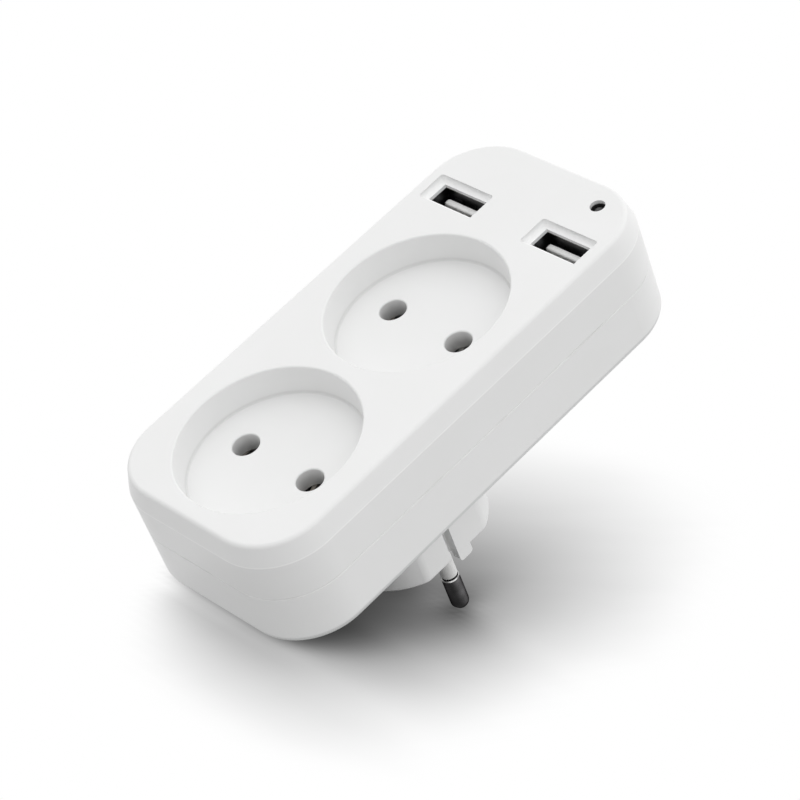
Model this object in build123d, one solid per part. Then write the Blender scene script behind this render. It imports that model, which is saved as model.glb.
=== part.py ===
from build123d import *
import math
import os

# Two-way wall adapter with a pair of USB charging ports, in millimetres.
# The origin is the middle of the plug's end face, between its pins. +X runs along the pin line,
# +Y leaves the wall side along the pins, and +Z runs up the body towards the charging ports.

# Body
BODY_WIDTH = 52.7
BODY_DEPTH = 27.3
END_MARGIN = 5.1
CHARGER_END = 26.1
CORNER_RADIUS = 14.3
LIP_DEPTH = 4.8
LIP_INSET = 1.35
FRONT_EDGE_RADIUS = 1.0
REAR_EDGE_RADIUS = 2.5
FRONT_COVER_DEPTH = 13.85
SIDE_WALL = 2.0
FRONT_WALL = 2.2
REAR_WALL = 1.5
RIM_THICKNESS = 0.9
RIM_HEIGHT = 1.5
SEAM_BEVEL = 0.2
SEAT_GAP = 0.1
BORE_GAP = 0.05

# Sockets
WELL_RADIUS = 19.3
WELL_GAP = 3.9
WELL_BELOW_PLUG = 20.6
WELL_DRAFT = 4.5
WELL_DEPTH = 6.7
WELL_WALL = 1.6
WELL_FLOOR = 2.4
WELL_RIM_RADIUS = 0.4
WELL_FOOT_RADIUS = 0.35
PIN_SPACING = 19.0
PIN_HOLE_RADIUS = 2.9
PIN_HOLE_BEVEL = 0.2
COLLAR_WALL = 1.7
COLLAR_HEIGHT = 2.0

# Plug boss
BOSS_RADIUS = 18.0
BOSS_ACROSS_FLATS = 31.8
BOSS_CORNER_RADIUS = 3.0
BOSS_HEIGHT = 18.3
BOSS_WALL = 2.0
BOSS_FACE = 3.0
BOSS_EDGE_RADIUS = 0.8
GROOVE_WIDTH = 1.9
GROOVE_DEPTH = 2.4
GROOVE_FROM_PINS = 0.8
GROOVE_BACKING = 1.2
LUG_WIDTH = 3.5
LUG_HEIGHT = 2.0
LUG_THICKNESS = 2.0
LUG_CORNER_RADIUS = 0.8
TOWER_RADIUS = 3.6
TOWER_HEIGHT = 2.0

# Plug pins
PIN_RADIUS = 2.0
PIN_LENGTH = 19.0
PIN_CORE_RADIUS = 1.45
PIN_TIP_RADIUS = 1.6
PIN_NECK_LENGTH = 0.4
PIN_SHOULDER_BEVEL = 0.4
SLEEVE_RADIUS = 1.8
SLEEVE_LENGTH = 9.2
RIVET_RADIUS = 1.2
RIVET_HEAD_RADIUS = 1.8
RIVET_HEAD_HEIGHT = 0.7

# Contact strips
STRIP_THICKNESS = 0.8
STRIP_WIDTH = 8.0
STRIP_END = 6.0
STRIP_PIN_GAP = 2.4
CLIP_NIP = 3.7
CLIP_ROOT_GAP = 5.6
CLIP_BEND_OFFSET = 5.5
CLIP_BEND_RADIUS = 1.2
CLIP_FLARE = 1.0
CLIP_FLARE_LENGTH = 4.0
LEG_WIDTH = 4.2
LEG_RISE = 4.6
STRIP_POST_WIDTH = 3.2
STRIP_POST_LENGTH = 3.0
STRIP_POST_GRIP = 1.5

# Charging ports
PORT_SPACING = 29.4
PORT_RISE = 7.6
FRAME_WIDTH = 15.2
FRAME_HEIGHT = 7.4
FRAME_DEPTH = 1.4
FRAME_RADIUS = 0.75
FRAME_FOOT_RADIUS = 0.7
WINDOW_WIDTH = 12.2
WINDOW_HEIGHT = 5.0
SHELL_INNER_WIDTH = 12.5
SHELL_INNER_HEIGHT = 5.2
SHELL_WALL = 0.3
TONGUE_WIDTH = 11.2
TONGUE_THICKNESS = 1.6
TONGUE_LIFT = 0.95
TONGUE_SETBACK = 4.2
TONGUE_LENGTH = 6.2
TONGUE_CORNER_RADIUS = 0.8
TONGUE_NOSE_RADIUS = 0.5
INNER_CONTACT_X = 1.0
OUTER_CONTACT_X = 3.5
CONTACT_WIDTH = 1.0
CONTACT_THICKNESS = 0.25
CONTACT_SETBACK = 0.8

# Indicator lamp
LAMP_FROM_SIDE = 11.45
LAMP_FROM_TOP = 6.9
LAMP_HOLE_RADIUS = 1.65
LAMP_RADIUS = 1.5
LAMP_DOME_RADIUS = 1.4
LAMP_SETBACK = 0.9
LAMP_LENGTH = 4.6
LAMP_FLANGE_RADIUS = 1.9
LAMP_FLANGE_HEIGHT = 1.0
LAMP_LEAD_WIDTH = 0.5
LAMP_LEAD_SPACING = 1.8

# Charger board
BOARD_DEPTH = 15.5
BOARD_THICKNESS = 1.6
BOARD_CLEARANCE = 0.8
BOARD_RISE = 3.0
PILLAR_RADIUS = 1.6
PILLAR_FROM_SIDE = 6.35
PILLAR_FROM_TOP = 9.8
STOP_RISE = 1.8
PORT_STOP_RISE = 5.6

# Transformer on the front of the board
CORE_WIDTH = 13.2
CORE_LENGTH = 12.8
CORE_MIDDLE_LEG = 3.6
CORE_SIDE_LEG = 1.7
CORE_YOKE = 1.9
CORE_RISE = 8.0
CORE_CLEARANCE = 0.9
COIL_GAP = 0.2
COIL_OVERHANG = 2.2
COIL_CORNER_RADIUS = 0.5
BOBBIN_FOOT = 2.0

# Components on the back of the board
INPUT_CAPACITOR_CLEARANCE = 0.65
INPUT_CAPACITOR_LENGTH = 12.0
INPUT_CAPACITOR_X = -9.5
INPUT_CAPACITOR_FROM_TOP = 7.7
OUTPUT_CAPACITOR_CLEARANCE = 2.25
OUTPUT_CAPACITOR_LENGTH = 11.0
OUTPUT_CAPACITOR_X = 9.2
OUTPUT_CAPACITOR_FROM_TOP = 7.1
FUSE_RADIUS = 1.5
FUSE_LENGTH = 8.0
FUSE_FROM_LEAD = 6.4
FUSE_RISE = 2.5
CAN_EDGE_RADIUS = 0.6
NOISE_CAPACITOR_RADIUS = 2.4
NOISE_CAPACITOR_HEIGHT = 3.0
NOISE_CAPACITOR_X = 9.0
NOISE_CAPACITOR_RISE = 7.2
BRIDGE_WIDTH = 5.0
BRIDGE_LENGTH = 4.2
BRIDGE_HEIGHT = 2.6
BRIDGE_X = -9.6
BRIDGE_RISE = 6.4
DIODE_WIDTH = 4.4
DIODE_LENGTH = 2.7
DIODE_HEIGHT = 2.3
DIODE_X = 6.4
DIODE_RISE = 2.8
CHIP_WIDTH = 5.0
CHIP_LENGTH = 4.0
CHIP_HEIGHT = 1.6
CHIP_RISE = 7.0
CHIP_LEGS_PER_SIDE = 4
CHIP_LEG_PITCH = 1.27
CHIP_LEG_WIDTH = 0.4
CHIP_LEG_REACH = 0.9
CHIP_LEG_HEIGHT = 0.5

# Mains leads
LEAD_RADIUS = 0.8
LEAD_PAD_FROM_SIDE = 10.95
LEAD_PAD_RISE = 2.4
LEAD_RUN = 6.0
LEAD_STANDOFF = 4.6
LEAD_BEND_RADIUS = 2.4

# Cover screws
LOWER_SCREW_FROM_SIDE = 8.85
LOWER_SCREW_FROM_BOTTOM = 9.0
UPPER_SCREW_FROM_SIDE = 6.35
UPPER_SCREW_FROM_TOP = 29.3
SCREW_SEAM_DEPTH = 17.0
SCREW_SEAT = 2.2
SCREW_SHANK_RADIUS = 1.2
SCREW_LENGTH = 10.0
SCREW_TIP_LENGTH = 1.4
SCREW_HEAD_RADIUS = 2.6
SCREW_HEAD_HEIGHT = 1.8
SCREW_HEAD_EDGE_RADIUS = 0.7
SCREW_SLOT_WIDTH = 0.7
SCREW_SLOT_LENGTH = 3.0
SCREW_SLOT_DEPTH = 0.9
SCREW_HOLE_GAP = 0.3
FRONT_POST_RADIUS = 3.2
REAR_POST_WALL = 1.0

# Planes across the depth, from the front face back to the boss
REAR_Y = -BOSS_HEIGHT
FRONT_Y = REAR_Y - BODY_DEPTH
LIP_Y = FRONT_Y + LIP_DEPTH
SEAM_Y = FRONT_Y + FRONT_COVER_DEPTH
RIM_Y = SEAM_Y - RIM_HEIGHT
FRONT_INNER_Y = FRONT_Y + FRONT_WALL
REAR_INNER_Y = REAR_Y - REAR_WALL
WELL_FLOOR_Y = FRONT_Y + WELL_DEPTH
WELL_BACK_Y = WELL_FLOOR_Y + WELL_FLOOR
COLLAR_END_Y = WELL_BACK_Y + COLLAR_HEIGHT
STRIP_FRONT_Y = COLLAR_END_Y + SEAT_GAP
STRIP_BACK_Y = STRIP_FRONT_Y + STRIP_WIDTH
TONGUE_Y = FRONT_Y + TONGUE_SETBACK
TONGUE_BASE_Y = TONGUE_Y + TONGUE_LENGTH
BOARD_FRONT_Y = FRONT_Y + BOARD_DEPTH
BOARD_BACK_Y = BOARD_FRONT_Y + BOARD_THICKNESS
COIL_FOOT_Y = BOARD_FRONT_Y - BOBBIN_FOOT
COIL_TOP_Y = FRONT_INNER_Y + CORE_CLEARANCE
CORE_BACK_Y = COIL_FOOT_Y - COIL_OVERHANG
CORE_FRONT_Y = COIL_TOP_Y + COIL_OVERHANG
SCREW_SEAM_Y = FRONT_Y + SCREW_SEAM_DEPTH
SCREW_SEAT_Y = SCREW_SEAM_Y + SCREW_SEAT
SCREW_TIP_Y = SCREW_SEAT_Y - SCREW_LENGTH
SCREW_HEAD_Y = SCREW_SEAT_Y + SCREW_HEAD_HEIGHT
FACE_INNER_Y = -BOSS_FACE
TOWER_Y = FACE_INNER_Y - TOWER_HEIGHT
FOOT_Y = TOWER_Y - STRIP_THICKNESS
RIVET_Y = FOOT_Y - RIVET_HEAD_HEIGHT

# Places across the width and height
LOWER_WELL_Z = -WELL_BELOW_PLUG
UPPER_WELL_Z = LOWER_WELL_Z + 2 * WELL_RADIUS + WELL_GAP
BODY_BOTTOM_Z = LOWER_WELL_Z - WELL_RADIUS - END_MARGIN
CHARGER_Z = UPPER_WELL_Z + WELL_RADIUS
BODY_TOP_Z = CHARGER_Z + CHARGER_END
BODY_HEIGHT = BODY_TOP_Z - BODY_BOTTOM_Z
BODY_MID_Z = (BODY_TOP_Z + BODY_BOTTOM_Z) / 2
BODY_SIDE_X = BODY_WIDTH / 2
LIP_TAPER = math.degrees(math.atan2(LIP_INSET, LIP_DEPTH))
PIN_X = PIN_SPACING / 2
BOSS_FLAT_X = BOSS_ACROSS_FLATS / 2
STRIP_X = PIN_X + STRIP_PIN_GAP + STRIP_THICKNESS / 2
STRIP_BOTTOM_Z = LOWER_WELL_Z - STRIP_END
STRIP_TOP_Z = UPPER_WELL_Z + STRIP_END
PORT_X = PORT_SPACING / 2
PORT_Z = CHARGER_Z + PORT_RISE
LAMP_X = BODY_SIDE_X - LAMP_FROM_SIDE
LAMP_Z = BODY_TOP_Z - LAMP_FROM_TOP
BOARD_BOTTOM_Z = CHARGER_Z + BOARD_RISE
STOP_Z = BOARD_BOTTOM_Z + STOP_RISE
PORT_STOP_Z = BOARD_BOTTOM_Z + PORT_STOP_RISE
PILLAR_X = BODY_SIDE_X - PILLAR_FROM_SIDE
PILLAR_Z = BODY_TOP_Z - PILLAR_FROM_TOP
CORE_Z = BOARD_BOTTOM_Z + CORE_RISE
LEAD_PAD_X = BODY_SIDE_X - LEAD_PAD_FROM_SIDE
LEAD_PAD_Z = BOARD_BOTTOM_Z + LEAD_PAD_RISE
FUSE_X = FUSE_FROM_LEAD - LEAD_PAD_X
SIDES = {"left": -1, "right": 1}
WELLS = (LOWER_WELL_Z, UPPER_WELL_Z)
PIN_HOLES = [(side * PIN_X, z) for side in SIDES.values() for z in WELLS]
PILLARS = [(side * PILLAR_X, PILLAR_Z) for side in SIDES.values()]
BOARD_STOPS = [(0, STOP_Z)] + [(side * PORT_X, PORT_STOP_Z) for side in SIDES.values()]
SCREW_ROWS = (
    (BODY_SIDE_X - LOWER_SCREW_FROM_SIDE, BODY_BOTTOM_Z + LOWER_SCREW_FROM_BOTTOM),
    (BODY_SIDE_X - UPPER_SCREW_FROM_SIDE, BODY_TOP_Z - UPPER_SCREW_FROM_TOP),
)
SCREWS = [(side * x, z) for side in SIDES.values() for x, z in SCREW_ROWS]


def at(y):
    """The plane across the adapter at this depth, with X to the right and Z up."""
    return Plane.XZ.offset(-y)


def slab(sketch, y_from, y_to):
    """A flat outline in X and Z, carried from one depth to another."""
    return extrude(at(y_to) * sketch, amount=y_to - y_from)


def disc(radius, x, z, y_from, y_to):
    return slab(Pos(x, z) * Circle(radius), y_from, y_to)


def block(width, height, x, z, y_from, y_to):
    return slab(Pos(x, z) * Rectangle(width, height), y_from, y_to)


def turned(points, x, z):
    """A piece turned about an axis along Y, from radius and depth pairs."""
    profile = make_face(Polyline(*points, close=True))
    return Pos(x, 0, z) * revolve(profile, Axis.Y)


def front_face(piece):
    return piece.faces().sort_by(Axis.Y)[0]


def rear_face(piece):
    return piece.faces().sort_by(Axis.Y)[-1]


def body_outline(inset=0.0):
    width = BODY_WIDTH - 2 * inset
    height = BODY_HEIGHT - 2 * inset
    return Pos(0, BODY_MID_Z) * RectangleRounded(width, height, CORNER_RADIUS - inset)


def boss_outline(inset=0.0):
    flats = Rectangle(BOSS_ACROSS_FLATS - 2 * inset, 2 * BOSS_RADIUS)
    outline = Circle(BOSS_RADIUS - inset) & flats
    return fillet(outline.vertices(), BOSS_CORNER_RADIUS)


def well_cut(z):
    """The hollow of one socket: a drafted round well with a rounded foot."""
    mouth = at(FRONT_Y) * (Pos(0, z) * Circle(WELL_RADIUS))
    hollow = extrude(mouth, amount=-WELL_DEPTH, taper=WELL_DRAFT)
    return fillet(rear_face(hollow).edges(), WELL_FOOT_RADIUS)


def pin_hole_cut(x, z):
    """A pin hole with a bevelled mouth, through the well's floor and the collar behind it."""
    points = (
        (0, WELL_FLOOR_Y),
        (PIN_HOLE_RADIUS + PIN_HOLE_BEVEL, WELL_FLOOR_Y),
        (PIN_HOLE_RADIUS, WELL_FLOOR_Y + PIN_HOLE_BEVEL),
        (PIN_HOLE_RADIUS, COLLAR_END_Y),
        (0, COLLAR_END_Y),
    )
    return turned(points, x, z)


def port_cut(x):
    """The shallow frame round one port, with a rounded foot, and the window through its floor."""
    outline = Pos(x, PORT_Z) * RectangleRounded(FRAME_WIDTH, FRAME_HEIGHT, FRAME_RADIUS)
    frame = slab(outline, FRONT_Y, FRONT_Y + FRAME_DEPTH)
    frame = fillet(rear_face(frame).edges(), FRAME_FOOT_RADIUS)
    return frame + block(WINDOW_WIDTH, WINDOW_HEIGHT, x, PORT_Z, FRONT_Y, FRONT_INNER_Y)


def front_skin():
    """The solid outside of the front cover: a tapered lip over straight sides, and the two wells."""
    lip = extrude(at(LIP_Y) * body_outline(), amount=LIP_DEPTH, taper=LIP_TAPER)
    skin = lip + slab(body_outline(), LIP_Y, SEAM_Y)
    skin = fillet(front_face(skin).edges(), FRONT_EDGE_RADIUS)
    skin = chamfer(rear_face(skin).edges(), SEAM_BEVEL)
    for z in WELLS:
        skin -= well_cut(z)
    arcs = front_face(skin).edges().filter_by(GeomType.CIRCLE)
    rims = [arc for arc in arcs if math.isclose(arc.radius, WELL_RADIUS)]
    return fillet(rims, WELL_RIM_RADIUS)


def front_hollow():
    """The space inside the front cover, less the cups, collars, posts and pillars that stand in it."""
    inside = body_outline(SIDE_WALL)
    hollow = extrude(at(LIP_Y) * inside, amount=LIP_DEPTH - FRONT_WALL, taper=LIP_TAPER)
    hollow += slab(inside, LIP_Y, SEAM_Y)
    hollow += slab(body_outline(SIDE_WALL - RIM_THICKNESS), RIM_Y, SEAM_Y)
    for z in WELLS:
        hollow -= disc(WELL_RADIUS + WELL_WALL, 0, z, FRONT_Y, WELL_BACK_Y)
    for x, z in PIN_HOLES:
        hollow -= disc(PIN_HOLE_RADIUS + COLLAR_WALL, x, z, FRONT_Y, COLLAR_END_Y)
    for x, z in SCREWS:
        hollow -= disc(FRONT_POST_RADIUS, x, z, FRONT_Y, SEAM_Y)
    for x, z in PILLARS:
        hollow -= disc(PILLAR_RADIUS, x, z, FRONT_Y, SEAM_Y)
    return hollow


def front_cover():
    """The front shell, with its posts run on past the seam and every hole cut."""
    cover = front_skin() - front_hollow()
    for x, z in PILLARS:
        cover += disc(PILLAR_RADIUS, x, z, SEAM_Y, BOARD_FRONT_Y)
    for x, z in SCREWS:
        cover += disc(FRONT_POST_RADIUS, x, z, SEAM_Y, SCREW_SEAM_Y)
        cover -= disc(SCREW_SHANK_RADIUS + BORE_GAP, x, z, SCREW_TIP_Y - SEAT_GAP, SCREW_SEAM_Y)
    for x, z in PIN_HOLES:
        cover -= pin_hole_cut(x, z)
    for side in SIDES.values():
        cover -= port_cut(side * PORT_X)
    return cover - disc(LAMP_HOLE_RADIUS, LAMP_X, LAMP_Z, FRONT_Y, FRONT_INNER_Y)


def guide_lug(side):
    """A small lug that stands proud of the boss's end, beside one guide groove."""
    x = side * (BOSS_FLAT_X - LUG_THICKNESS / 2)
    z = side * (GROOVE_WIDTH / 2 + LUG_WIDTH / 2 - GROOVE_FROM_PINS)
    lug = block(LUG_THICKNESS, LUG_WIDTH, x, z, FACE_INNER_Y, LUG_HEIGHT)
    return fillet(rear_face(lug).edges().filter_by(Axis.X), LUG_CORNER_RADIUS)


def boss_skin():
    """The solid outside of the plug boss: a round with two flats, a groove and a lug on each."""
    boss = slab(boss_outline(), REAR_INNER_Y, 0)
    boss = fillet(rear_face(boss).edges(), BOSS_EDGE_RADIUS)
    for side in SIDES.values():
        groove_x = side * (BOSS_FLAT_X - GROOVE_DEPTH / 2)
        groove_z = -side * GROOVE_FROM_PINS
        boss -= block(GROOVE_DEPTH, GROOVE_WIDTH, groove_x, groove_z, REAR_Y, 0)
        boss += guide_lug(side)
    return boss


def boss_hollow():
    """The space inside the boss, less the backs of its grooves and the towers round its pins."""
    hollow = slab(boss_outline(BOSS_WALL), REAR_INNER_Y, FACE_INNER_Y)
    back_depth = GROOVE_DEPTH + GROOVE_BACKING
    back_width = GROOVE_WIDTH + 2 * GROOVE_BACKING
    for side in SIDES.values():
        back_x = side * (BOSS_FLAT_X - back_depth / 2)
        back_z = -side * GROOVE_FROM_PINS
        hollow -= block(back_depth, back_width, back_x, back_z, REAR_INNER_Y, FACE_INNER_Y)
        hollow -= disc(TOWER_RADIUS, side * PIN_X, 0, TOWER_Y, FACE_INNER_Y)
    return hollow


def strip_post(side, z):
    """A slotted post on the rear wall that holds one end of a contact strip."""
    x = side * STRIP_X
    top = STRIP_BACK_Y - STRIP_POST_GRIP
    slot = STRIP_THICKNESS + 2 * SEAT_GAP
    post = block(STRIP_POST_WIDTH, STRIP_POST_LENGTH, x, z, top, REAR_INNER_Y)
    return post - block(slot, STRIP_POST_LENGTH, x, z, top, STRIP_BACK_Y + SEAT_GAP)


def rear_hollow():
    """The space inside the rear cover's sides, less the posts, and the stops that back the board."""
    hollow = slab(body_outline(SIDE_WALL), SEAM_Y, REAR_INNER_Y)
    post_radius = SCREW_HEAD_RADIUS + SCREW_HOLE_GAP + REAR_POST_WALL
    for x, z in SCREWS:
        hollow -= disc(post_radius, x, z, SCREW_SEAM_Y, REAR_INNER_Y)
    for x, z in PILLARS + BOARD_STOPS:
        hollow -= disc(PILLAR_RADIUS, x, z, BOARD_BACK_Y + SEAT_GAP, REAR_INNER_Y)
    for side in SIDES.values():
        hollow -= strip_post(side, STRIP_BOTTOM_Z + STRIP_POST_LENGTH / 2)
        hollow -= strip_post(side, STRIP_TOP_Z - STRIP_POST_LENGTH / 2)
    return hollow


def rear_cover():
    """The rear shell: straight sides, a rounded rear edge, the hollow plug boss and a rim inside the seam."""
    skin = slab(body_outline(), SEAM_Y, REAR_Y)
    skin = fillet(rear_face(skin).edges(), REAR_EDGE_RADIUS)
    skin = chamfer(front_face(skin).edges(), SEAM_BEVEL)
    cover = skin + boss_skin() - rear_hollow() - boss_hollow()
    rim = body_outline(SIDE_WALL - RIM_THICKNESS + SEAT_GAP) - body_outline(SIDE_WALL)
    cover += slab(rim, RIM_Y + SEAT_GAP, SEAM_Y)
    for x, z in SCREWS:
        cover -= disc(SCREW_HEAD_RADIUS + SCREW_HOLE_GAP, x, z, SCREW_SEAT_Y, REAR_Y)
        cover -= disc(SCREW_SHANK_RADIUS + SCREW_HOLE_GAP, x, z, SCREW_SEAM_Y, SCREW_SEAT_Y)
    for side in SIDES.values():
        cover -= disc(SLEEVE_RADIUS + BORE_GAP, side * PIN_X, 0, FACE_INNER_Y, 0)
        cover -= disc(PIN_CORE_RADIUS + BORE_GAP, side * PIN_X, 0, TOWER_Y, FACE_INNER_Y)
    return cover


def plug_pin(side):
    """One pin: rivet head, core under the sleeve, a neck, and the bare contact end with a rounded tip."""
    shoulder = SLEEVE_LENGTH + PIN_NECK_LENGTH
    points = (
        (0, RIVET_Y),
        (RIVET_HEAD_RADIUS, RIVET_Y),
        (RIVET_HEAD_RADIUS, FOOT_Y),
        (RIVET_RADIUS, FOOT_Y),
        (RIVET_RADIUS, TOWER_Y),
        (PIN_CORE_RADIUS, TOWER_Y),
        (PIN_CORE_RADIUS, shoulder),
        (PIN_RADIUS - PIN_SHOULDER_BEVEL, shoulder),
        (PIN_RADIUS, shoulder + PIN_SHOULDER_BEVEL),
        (PIN_RADIUS, PIN_LENGTH),
        (0, PIN_LENGTH),
    )
    pin = turned(points, side * PIN_X, 0)
    return fillet(rear_face(pin).edges(), PIN_TIP_RADIUS)


def pin_sleeve(side):
    tube = Circle(SLEEVE_RADIUS) - Circle(PIN_CORE_RADIUS)
    return slab(Pos(side * PIN_X, 0) * tube, FACE_INNER_Y, SLEEVE_LENGTH)


def spring_clip(side, hole_z, inward):
    """One spring leaf, folded back from the strip so that it nips a pin against it."""
    leaf_x = STRIP_X - STRIP_THICKNESS - CLIP_NIP
    root_x = STRIP_X - STRIP_THICKNESS - CLIP_ROOT_GAP
    route = (
        (side * STRIP_X, hole_z + inward * CLIP_BEND_OFFSET),
        (side * root_x, hole_z + inward * CLIP_BEND_OFFSET),
        (side * leaf_x, hole_z),
        (side * (leaf_x - CLIP_FLARE), hole_z - inward * CLIP_FLARE_LENGTH),
    )
    leaf = trace(FilletPolyline(*route, radius=CLIP_BEND_RADIUS), line_width=STRIP_THICKNESS)
    return slab(leaf, STRIP_FRONT_Y, STRIP_BACK_Y)


def contact_strip(side):
    """A stamped strip along both sockets, with a clip at each pin hole and a leg down to the plug pin."""
    length = STRIP_TOP_Z - STRIP_BOTTOM_Z
    middle = (STRIP_TOP_Z + STRIP_BOTTOM_Z) / 2
    strip = block(STRIP_THICKNESS, length, side * STRIP_X, middle, STRIP_FRONT_Y, STRIP_BACK_Y)
    strip += spring_clip(side, LOWER_WELL_Z, 1)
    strip += spring_clip(side, UPPER_WELL_Z, -1)
    return strip + pin_leg(side)


def pin_leg(side):
    """The strip's leg: a shoulder, an upright down the boss, and a foot round the pin's rivet."""
    inner_x = PIN_X - LEG_WIDTH / 2
    outer_x = STRIP_X + STRIP_THICKNESS / 2
    shoulder_x = side * (inner_x + outer_x) / 2
    shoulder_z = LEG_RISE + (LEG_WIDTH - STRIP_THICKNESS) / 2
    shoulder_y = STRIP_BACK_Y - STRIP_THICKNESS
    leg = block(outer_x - inner_x, LEG_WIDTH, shoulder_x, shoulder_z, shoulder_y, STRIP_BACK_Y)
    leg += block(LEG_WIDTH, STRIP_THICKNESS, side * PIN_X, LEG_RISE, shoulder_y, TOWER_Y)
    foot_top = LEG_RISE + STRIP_THICKNESS / 2
    foot_bottom = -LEG_WIDTH / 2
    foot_z = (foot_top + foot_bottom) / 2
    leg += block(LEG_WIDTH, foot_top - foot_bottom, side * PIN_X, foot_z, FOOT_Y, TOWER_Y)
    return leg - disc(RIVET_RADIUS + BORE_GAP, side * PIN_X, 0, FOOT_Y, TOWER_Y)


def usb_shell(side):
    """The folded steel shell of one port, from the front wall back to the board."""
    outer = Rectangle(SHELL_INNER_WIDTH + 2 * SHELL_WALL, SHELL_INNER_HEIGHT + 2 * SHELL_WALL)
    tube = outer - Rectangle(SHELL_INNER_WIDTH, SHELL_INNER_HEIGHT)
    return slab(Pos(side * PORT_X, PORT_Z) * tube, FRONT_INNER_Y + SEAT_GAP, BOARD_FRONT_Y)


def usb_tongue(side):
    """A port's insulator: a base that fills the shell's foot, and the tongue that the plug slides over."""
    x = side * PORT_X
    base_width = SHELL_INNER_WIDTH - 2 * SEAT_GAP
    base_height = SHELL_INNER_HEIGHT - 2 * SEAT_GAP
    base = block(base_width, base_height, x, PORT_Z, TONGUE_BASE_Y, BOARD_FRONT_Y)
    tongue = block(TONGUE_WIDTH, TONGUE_THICKNESS, x, PORT_Z + TONGUE_LIFT, TONGUE_Y, TONGUE_BASE_Y)
    tongue = fillet(front_face(tongue).edges().filter_by(Axis.Z), TONGUE_CORNER_RADIUS)
    return base + fillet(front_face(tongue).edges().filter_by(Axis.X), TONGUE_NOSE_RADIUS)


def usb_contacts(side):
    """The four contact springs that lie along the underside of one tongue."""
    z = PORT_Z + TONGUE_LIFT - TONGUE_THICKNESS / 2 - CONTACT_THICKNESS / 2
    tip_y = TONGUE_Y + CONTACT_SETBACK
    springs = []
    for shift in (-OUTER_CONTACT_X, -INNER_CONTACT_X, INNER_CONTACT_X, OUTER_CONTACT_X):
        x = side * PORT_X + shift
        springs.append(block(CONTACT_WIDTH, CONTACT_THICKNESS, x, z, tip_y, TONGUE_BASE_Y))
    return Compound(children=springs)


def indicator_lamp():
    """A small domed lamp behind its hole, on two leads that stand on the board."""
    tip = FRONT_Y + LAMP_SETBACK
    back = tip + LAMP_LENGTH
    lens = disc(LAMP_RADIUS, LAMP_X, LAMP_Z, tip, back)
    lens = fillet(front_face(lens).edges(), LAMP_DOME_RADIUS)
    lamp = lens + disc(LAMP_FLANGE_RADIUS, LAMP_X, LAMP_Z, back - LAMP_FLANGE_HEIGHT, back)
    for side in SIDES.values():
        x = LAMP_X + side * LAMP_LEAD_SPACING / 2
        lamp += block(LAMP_LEAD_WIDTH, LAMP_LEAD_WIDTH, x, LAMP_Z, back, BOARD_FRONT_Y)
    return lamp


def circuit_board():
    """The charger board: the top end of the body's inner outline, cut off straight below the ports."""
    height = BODY_TOP_Z - BOARD_BOTTOM_Z
    top_end = Pos(0, BOARD_BOTTOM_Z + height / 2) * Rectangle(BODY_WIDTH, height)
    return slab(body_outline(SIDE_WALL + BOARD_CLEARANCE) & top_end, BOARD_FRONT_Y, BOARD_BACK_Y)


def transformer_core():
    """A ferrite frame with a middle leg."""
    frame = Rectangle(CORE_WIDTH, CORE_LENGTH)
    window_width = (CORE_WIDTH - CORE_MIDDLE_LEG) / 2 - CORE_SIDE_LEG
    window_height = CORE_LENGTH - 2 * CORE_YOKE
    for side in SIDES.values():
        window_x = side * (CORE_MIDDLE_LEG + window_width) / 2
        frame -= Pos(window_x, 0) * Rectangle(window_width, window_height)
    return slab(Pos(0, CORE_Z) * frame, CORE_FRONT_Y, CORE_BACK_Y)


def transformer_winding():
    """The taped winding round the core's middle leg, with the bobbin's foot on the board."""
    width = CORE_WIDTH - 2 * (CORE_SIDE_LEG + COIL_GAP)
    height = CORE_LENGTH - 2 * (CORE_YOKE + COIL_GAP)
    outline = Pos(0, CORE_Z) * RectangleRounded(width, height, COIL_CORNER_RADIUS)
    coil = slab(outline, COIL_TOP_Y, COIL_FOOT_Y)
    leg_width = CORE_MIDDLE_LEG + 2 * COIL_GAP
    coil -= block(leg_width, CORE_LENGTH, 0, CORE_Z, CORE_FRONT_Y - COIL_GAP, CORE_BACK_Y + COIL_GAP)
    return coil + block(CORE_WIDTH, CORE_LENGTH, 0, CORE_Z, COIL_FOOT_Y, BOARD_FRONT_Y)


def lying_can(radius, length, x, z):
    """A round component that lies along X on the back of the board."""
    y = BOARD_BACK_Y + BORE_GAP + radius
    can = Pos(x, y, z) * (Rot(0, 90, 0) * Cylinder(radius, length))
    return fillet(can.edges().filter_by(GeomType.CIRCLE), CAN_EDGE_RADIUS)


def radius_behind_board(clearance):
    """The radius of a can that leaves this clearance between itself and the rear wall."""
    return (REAR_INNER_Y - BOARD_BACK_Y - BORE_GAP - clearance) / 2


def input_capacitor():
    radius = radius_behind_board(INPUT_CAPACITOR_CLEARANCE)
    z = BODY_TOP_Z - INPUT_CAPACITOR_FROM_TOP
    return lying_can(radius, INPUT_CAPACITOR_LENGTH, INPUT_CAPACITOR_X, z)


def output_capacitor():
    radius = radius_behind_board(OUTPUT_CAPACITOR_CLEARANCE)
    z = BODY_TOP_Z - OUTPUT_CAPACITOR_FROM_TOP
    return lying_can(radius, OUTPUT_CAPACITOR_LENGTH, OUTPUT_CAPACITOR_X, z)


def fuse_resistor():
    return lying_can(FUSE_RADIUS, FUSE_LENGTH, FUSE_X, BOARD_BOTTOM_Z + FUSE_RISE)


def noise_capacitor():
    """A disc capacitor that stands flat on the back of the board."""
    z = BOARD_BOTTOM_Z + NOISE_CAPACITOR_RISE
    top = BOARD_BACK_Y + NOISE_CAPACITOR_HEIGHT
    can = disc(NOISE_CAPACITOR_RADIUS, NOISE_CAPACITOR_X, z, BOARD_BACK_Y, top)
    return fillet(rear_face(can).edges(), CAN_EDGE_RADIUS)


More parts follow.
